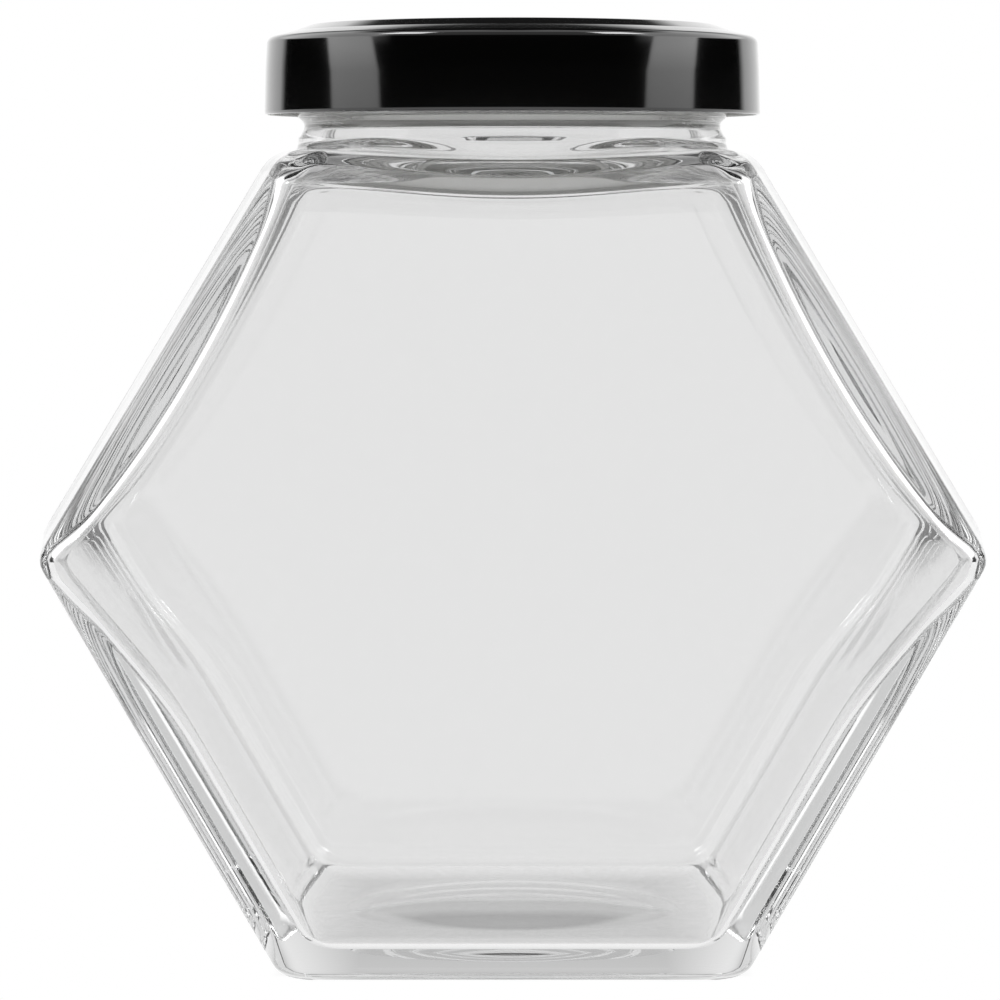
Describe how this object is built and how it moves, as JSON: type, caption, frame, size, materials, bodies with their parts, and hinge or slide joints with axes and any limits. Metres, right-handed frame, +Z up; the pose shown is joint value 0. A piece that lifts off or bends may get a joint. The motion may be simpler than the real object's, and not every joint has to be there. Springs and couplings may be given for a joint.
{
  "type": "hexagonal jar",
  "caption": "Empty clear glass jar shaped as a hexagonal prism on its side, with a round neck and a black stepped twist-off lid.",
  "frame": {"origin": "middle of the jar's footprint, on the plane it stands on", "axes": "+Z up through the neck, +Y from the front hexagonal face to the back one, +X to the right seen from the front"},
  "size_m": [0.1386, 0.075, 0.1343],
  "materials": {
    "glass": "clear, gloss",
    "lid": "black lacquer, high gloss"
  },
  "bodies": {
    "root": {"glass_jar": "glass", "lid": "lid"}
  },
  "joints": []
}
